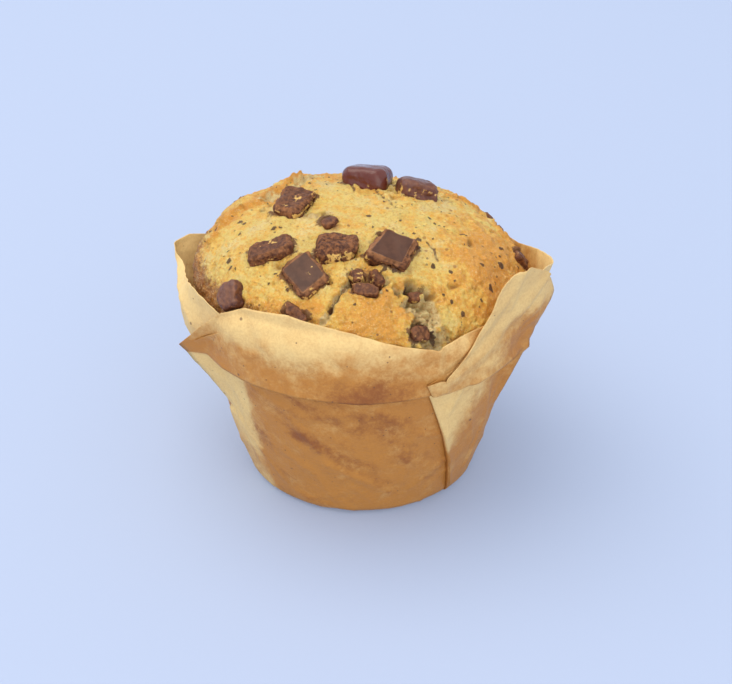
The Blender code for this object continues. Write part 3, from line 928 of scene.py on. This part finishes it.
def front_marks(angle, height, wave, above, grease, stain):
    """Front panel: a bare strip at the left end of its cup, and a darker corner beside the petal, partly
    grease and partly painted shade under the petal.
    """
    bare = smooth_step(-angle + wave, 41.5, 48.0) * (0.45 + 0.42 * smooth_step(height, 6.0, 24.0))
    kept = np.where(above, 1.0, 1.0 - bare)
    # Corner beside the petal: partly grease, partly painted shade under the petal.
    beside = np.where(above, smooth_step(angle + wave, 21.0, 30.0), 0.0)
    corner = 0.74 - 0.35 * smooth_step(height, 42.0, 50.0)
    grease = grease * kept
    stain = stain * kept
    return grease + (corner - grease) * beside, stain + (0.12 - stain) * beside


def petal_marks(angle, height, noises, above, soaked):
    """Petal: pale above its fold and in a triangle below it, and darker towards its right side with
    painted shade, laid on as extra grease and stain.
    """
    drift, wave, streak = noises
    from_edge = (angle - 44.5) * 0.58 + np.clip(height - 20.0, 0.0, 17.0) * 0.27
    triangle = 1.35 - from_edge / 11.0 - (TIN_HEIGHT - height) / 15.0 + 0.1 * wave
    low = 0.90 - 0.72 * smooth_step(np.clip(triangle, 0.0, 1.0), 0.0, 0.9)
    # Painted shade on the side turned from the light, as extra grease and stain.
    right = smooth_step(angle, 44.0, 60.0)
    high = 0.22 + (0.30 + 0.40 * right) * fade(height + wave, 41.0, 50.0)
    stain = np.where(above, 0.25 * right * soaked, 0.25 * streak + 0.15 * drift)
    return np.where(above, high, low), stain


def back_marks(angle, height, wave, grease, stain):
    """Back: a pale lobe behind the petal and a darker part that peeks out under it, partly grease and
    partly painted shade.
    """
    # Part peeking out under the petal: partly grease, partly painted shade.
    peeking = fade(angle + 3.0 * wave, 88.0, 116.0)
    peeking *= fade(height + wave, 39.5, 45.5)
    grease = grease * (1.0 - 0.9 * smooth_step(height + wave, 45.0, 49.0))
    return grease + (1.0 - grease) * peeking, stain + (0.18 - stain) * peeking


def left_marks(angle, wave, soaked):
    """Left side of the collar: nearly dry, but darker behind, partly grease and partly painted shade on
    the inner face seen at the back.
    """
    # Darker at the back: partly grease, partly painted shade on the collar's inner face.
    behind = fade(angle % 360.0 + 6.0 * wave, 165.0, 240.0)
    return 0.05 + 0.10 * soaked + 0.60 * behind * soaked, np.zeros(len(angle))


def grease_map(section, angle, height, crease):
    """Share of grease and of dark stain at each place on the sheet, with painted shade laid into both in a
    few places.
    """
    noises = sheet_noise(angle, height)
    drift, wave, streak = noises
    above = height > TIN_HEIGHT + 0.3
    middle = np.exp(-(((angle - 2.0) / 15.0) ** 2))
    left_end = np.exp(-(((angle + 52.0) / 9.0) ** 2))
    soaked = fade(height + wave - 2.5 * middle, 39.5, 51.0)
    collar_stain = 0.95 * middle * fade(height + wave, 39.0, 45.0)
    grease = np.where(above, 0.20 + 0.66 * soaked + 0.10 * left_end, 0.95)
    stain = np.where(above, collar_stain, cup_stain(angle, height, drift, streak, crease))
    places = (
        (in_section(section, "front"), front_marks(angle, height, wave, above, grease, stain)),
        (in_section(section, "petal"), petal_marks(angle, height, noises, above, soaked)),
        (in_section(section, "back"), back_marks(angle, height, wave, grease, stain)),
        (in_section(section, "left") & above, left_marks(angle, wave, soaked)),
    )
    for chosen, (own_grease, own_stain) in places:
        grease = np.where(chosen, own_grease, grease)
        stain = np.where(chosen, own_stain, stain)
    return grease, stain


def edge_lift(section, share, height):
    """How far the sheet's loose edges stand off the layer below them."""
    low = fade(height, 20.0, 34.0)
    petal_edge = 1.25 * np.exp(-share / 0.10) * low * smooth_step(height, 0.0, 5.0)
    front_edge = 0.3 * np.exp(-share / 0.07) * smooth_step(height, 3.0, 12.0)
    lift = np.where(in_section(section, "petal"), petal_edge, 0.0)
    return lift + np.where(in_section(section, "front"), front_edge, 0.0)


def row_height(kind, share, rim_height):
    """Height of one row at every station."""
    lip = np.minimum(TIN_HEIGHT + 0.45, rim_height - 1.2)
    if kind == 0:
        return np.full(len(rim_height), PAPER_FLOOR + 0.05 * share)
    if kind == 1:
        height = np.full(len(rim_height), 0.10 + (TIN_HEIGHT - 0.10) * share)
        return np.minimum(height, lip - 0.4 * (1.0 - share))
    return lip + (rim_height - lip) * share


def paper_row(kind, share, stations):
    """Points of one row of the sheet, and their angles from -180 to 180 degrees."""
    base_angle, rim_angle, layer, rim_radius, rim_height, section, along = stations.T
    height = row_height(kind, share, rim_height)
    away = np.full(len(section), (BASE_RADIUS - BASE_FILLET) * share)
    climb = np.zeros(len(section))
    if kind:
        climb = height / rim_height
        stacked = LAYER_GAP * layer * (0.35 + 0.65 * climb) + edge_lift(section, along, height)
        folded = left_fold(rim_angle, height, rim_height)
        away = sheet_radius(kind, share, height, rim_radius, rim_height, rim_angle) + stacked
        away += np.where(in_section(section, "left"), folded, 0.0)
    sweep = 1.0 + 5.0 * np.where(in_section(section, "petal"), smooth_step(along, 0.5, 1.0), 0.0)
    sweep += 5.0 * np.where(in_section(section, "under_petal_right"), 1.0 - along, 0.0)
    angle = base_angle + (rim_angle - base_angle) * climb**sweep
    turn = np.radians(angle)
    points = np.stack([np.sin(turn) * away, -np.cos(turn) * away, height], axis=1)
    return points, (angle + 180.0) % 360.0 - 180.0


def paper_wave(points, free):
    """Soft waves of the sheet, stronger towards its free rim."""
    wave = np.abs(layered_noise(points, 12.0, 91)) * (0.15 + 0.55 * free)
    return wave + np.abs(layered_noise(points, 4.0, 95)) * (0.10 + 0.10 * free)


def build_paper(material):
    stations = paper_stations()
    plan = paper_rows()
    rows = [paper_row(kind, share, stations) for kind, share in plan]
    points = np.concatenate([row[0] for row in rows])
    angles = np.concatenate([row[1] for row in rows])
    count = len(stations)
    sections = np.tile(stations[:, 5], len(rows))
    on_base = np.repeat([kind == 0 for kind, _share in plan], count)
    free = np.repeat([share if kind == 2 else 0.0 for kind, share in plan], count)
    under = [number for number, name in enumerate(SECTION_NAMES) if name.startswith("under")]
    crease = fold_measure(angles, points[:, 2], np.where(np.isin(sections, under), 0.0, 1.0))
    push = np.where(on_base, 0.0, paper_wave(points, free) + crease)
    outward = points * np.array([1.0, 1.0, 0.0])
    outward /= np.linalg.norm(outward, axis=1, keepdims=True) + 1e-6
    points = points + outward * push[:, None]
    middle = len(points)
    quads = grid_faces(count, len(rows)).tolist()
    quads += [[(index + 1) % count, index, middle] for index in range(count)]
    closed = np.concatenate([points, [[0.0, 0.0, PAPER_FLOOR]]])
    paper = mesh_object("paper", closed + AXIS, quads, material)
    grease, stain = grease_map(sections, angles, points[:, 2], crease)
    set_attributes(paper, {"grease": np.append(grease, 0.9), "stain": np.append(stain, 0.1)})
    across = np.tile(np.arange(count) / count, len(rows))
    up = np.repeat((np.arange(len(rows)) + 1) / (len(rows) + 1), count)
    uv = np.stack([0.005 + 0.99 * across, 0.005 + 0.99 * up], axis=1)
    set_uv(paper, np.concatenate([uv, [[0.5, 0.0]]]))
    solid = paper.modifiers.new("thickness", "SOLIDIFY")
    solid.thickness = PAPER_THICKNESS * MM
    solid.offset = 0.0
    return paper


# ---------------- chocolate

# Chunk looks: share of the surface that is broken, melted gloss, crumb cover and rounding. Then the
# length of the edges in millimetres, and the smoothing passes at full rounding.
CHUNK_LOOKS = {
    "chunk_big_square": (0.0, 0.05, 0.15, 0.03),
    "chunk_front_square": (0.0, 0.02, 0.32, 0.03),
    "chunk_left": (0.50, 0.10, 0.28, 0.04),
    "chunk_top_left": (0.65, 0.05, 0.30, 0.05),
    "chunk_centre_rough": (1.0, 0.0, 0.33, 0.06),
    "chunk_crest_left": (0.1, 1.0, 0.10, 1.0),
    "chunk_crest_right": (0.35, 0.6, 0.34, 0.5),
    "chunk_rim_left": (0.3, 0.45, 0.2, 0.45),
}
CHUNK_USUAL = (0.6, 0.15, 0.28, 0.14)
CHUNK_EDGE = 0.42
MOST_PASSES = 60
MELTED_CHUNKS = ("chunk_crest_left", "chunk_crest_right", "chunk_rim_left")


def fine_mesh(node, target):
    """The node's mesh in the row frame, split until its edges are about the target length."""
    built = bmesh.new()
    built.from_mesh(node.data)
    built.transform(node.matrix_world)
    bmesh.ops.remove_doubles(built, verts=built.verts, dist=0.01 * MM)
    for _pass in range(6):
        long_edges = [edge for edge in built.edges if edge.calc_length() > target * MM]
        if not long_edges:
            break
        bmesh.ops.subdivide_edges(built, edges=long_edges, cuts=1)
        bmesh.ops.triangulate(built, faces=[face for face in built.faces if len(face.verts) > 3])
    return built


def build_chunk(name, material):
    broken, melt, crumbs, rounding = CHUNK_LOOKS.get(name, CHUNK_USUAL)
    built = fine_mesh(NODES[name], CHUNK_EDGE)
    before = np.array([vert.co for vert in built.verts]) / MM
    for _pass in range(int(round(MOST_PASSES * rounding))):
        bmesh.ops.smooth_vert(built, verts=built.verts, factor=0.5,
                              use_axis_x=True, use_axis_y=True, use_axis_z=True)
    built.normal_update()
    points = np.array([vert.co for vert in built.verts]) / MM
    normal = np.array([vert.normal for vert in built.verts])
    centre = before.mean(axis=0)
    points = centre + (points - points.mean(axis=0)) * (np.ptp(before, axis=0) / np.ptp(points, axis=0))
    up = np.array([0.35 * (centre[0] - AXIS[0]) / 20.0, 0.35 * (centre[1] - AXIS[1]) / 20.0, 1.0])
    up /= np.linalg.norm(up)
    facing = normal @ up
    rough = np.clip(smooth_step(-facing, -0.93, -0.75) * (1.0 - 0.8 * melt) + broken, 0.0, 1.0)
    shift = 0.30 * layered_noise(points, 3.0, 141) * (0.25 + 0.75 * rough)
    shift += rough * (0.24 * layered_noise(points, 1.6, 151) + 0.06 * grain(points, 0.8, 161))
    points = points + normal * (1.25 * shift - 0.08)[:, None]
    mesh = bpy.data.meshes.new(name + "_look")
    for vert, place in zip(built.verts, points):
        vert.co = Vector(place) * MM
    built.to_mesh(mesh)
    built.free()
    chunk = smooth_object(mesh, material)
    low = smooth_step(-facing, -0.6, 0.2)
    cover = crumbs * (0.8 + 1.0 * layered_noise(points, 2.6, 171)) + 0.35 * low
    # Edges that half face up, between top and sides: partly wear, partly a painted highlight.
    edge = np.exp(-(((facing - 0.80) / 0.12) ** 2)) * (1.0 - broken) * (1.0 - melt)
    set_attributes(chunk, {"rough": rough, "rim": 0.7 * edge, "crumb": np.clip(cover, 0.0, 1.0),
                           "melt": np.full(len(points), melt)})
    return chunk


# ---------------- stage

# Camera in millimetres and degrees; lights in metres from the cup, with side, power and colour.
CAMERA_DISTANCE = 450.0
CAMERA_ELEVATION = math.radians(34.5)
CAMERA_LENS = 102.3
LOOK_AT = np.array([0.9, 0.0, 27.2])
LIGHTS = (
    ("key", (-0.35, 0.05, 0.95), 1.0, 7.6, (1.0, 0.945, 0.850)),
    ("fill", (0.18, -0.95, 0.45), 1.0, 4.3, (1.0, 0.94, 0.85)),
)
LIGHT_AIM = Vector((0.0, 0.0, 0.03))
ROOM_COLOUR = (0.84, 0.93, 1.08, 1.0)
ROOM_STRENGTH = 1.02
FLOOR_SIDE = 6.0
FLOOR_LOOK = {"Base Color": (0.315, 0.350, 0.445, 1.0), "Roughness": 0.8,
              "Emission Color": (0.50, 0.66, 0.96, 1.0), "Emission Strength": 0.22}


def build_camera():
    data = bpy.data.cameras.new("camera")
    data.lens = CAMERA_LENS
    camera = add_object("camera", data)
    back = np.array([0.0, -math.cos(CAMERA_ELEVATION), math.sin(CAMERA_ELEVATION)])
    camera.location = Vector((LOOK_AT + AXIS + back * CAMERA_DISTANCE) * MM)
    camera.rotation_euler = (math.pi / 2 - CAMERA_ELEVATION, 0.0, 0.0)
    bpy.context.scene.camera = camera


def add_light(name, place, size, power, colour):
    data = bpy.data.lights.new(name, "AREA")
    data.size = size
    data.energy = power
    data.color = colour
    light = add_object(name, data)
    light.location = place
    light.rotation_euler = (LIGHT_AIM - Vector(place)).to_track_quat("-Z", "Y").to_euler()


def build_lights():
    for row in LIGHTS:
        add_light(*row)
    world = bpy.data.worlds.new("soft_room")
    world.use_nodes = True
    background = world.node_tree.nodes["Background"]
    background.inputs["Color"].default_value = ROOM_COLOUR
    background.inputs["Strength"].default_value = ROOM_STRENGTH
    bpy.context.scene.world = world


def build_floor():
    bpy.ops.mesh.primitive_plane_add(size=FLOOR_SIDE, location=(0.0, 0.0, 0.0))
    floor = bpy.context.object
    floor.name = "floor"
    material = bpy.data.materials.new("pale_surface")
    material.use_nodes = True
    set_sockets(material.node_tree.nodes["Principled BSDF"], FLOOR_LOOK)
    floor.data.materials.append(material)


def attach(piece, node):
    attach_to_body(piece, "root")
    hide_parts(node)


def main():
    bpy.context.scene.view_settings.view_transform = "Standard"
    build_camera()
    build_lights()
    build_floor()
    cake = build_cake(cake_material())
    attach(cake, "muffin_cake")
    paper = build_paper(paper_material())
    attach(paper, "paper_wrap")
    plain = chocolate_material("dark_chocolate", 0.20)
    melted = chocolate_material("melted_chocolate", 0.50)
    for name in CHUNK_NAMES:
        material = melted if name in MELTED_CHUNKS else plain
        attach(build_chunk(name, material), name)


main()
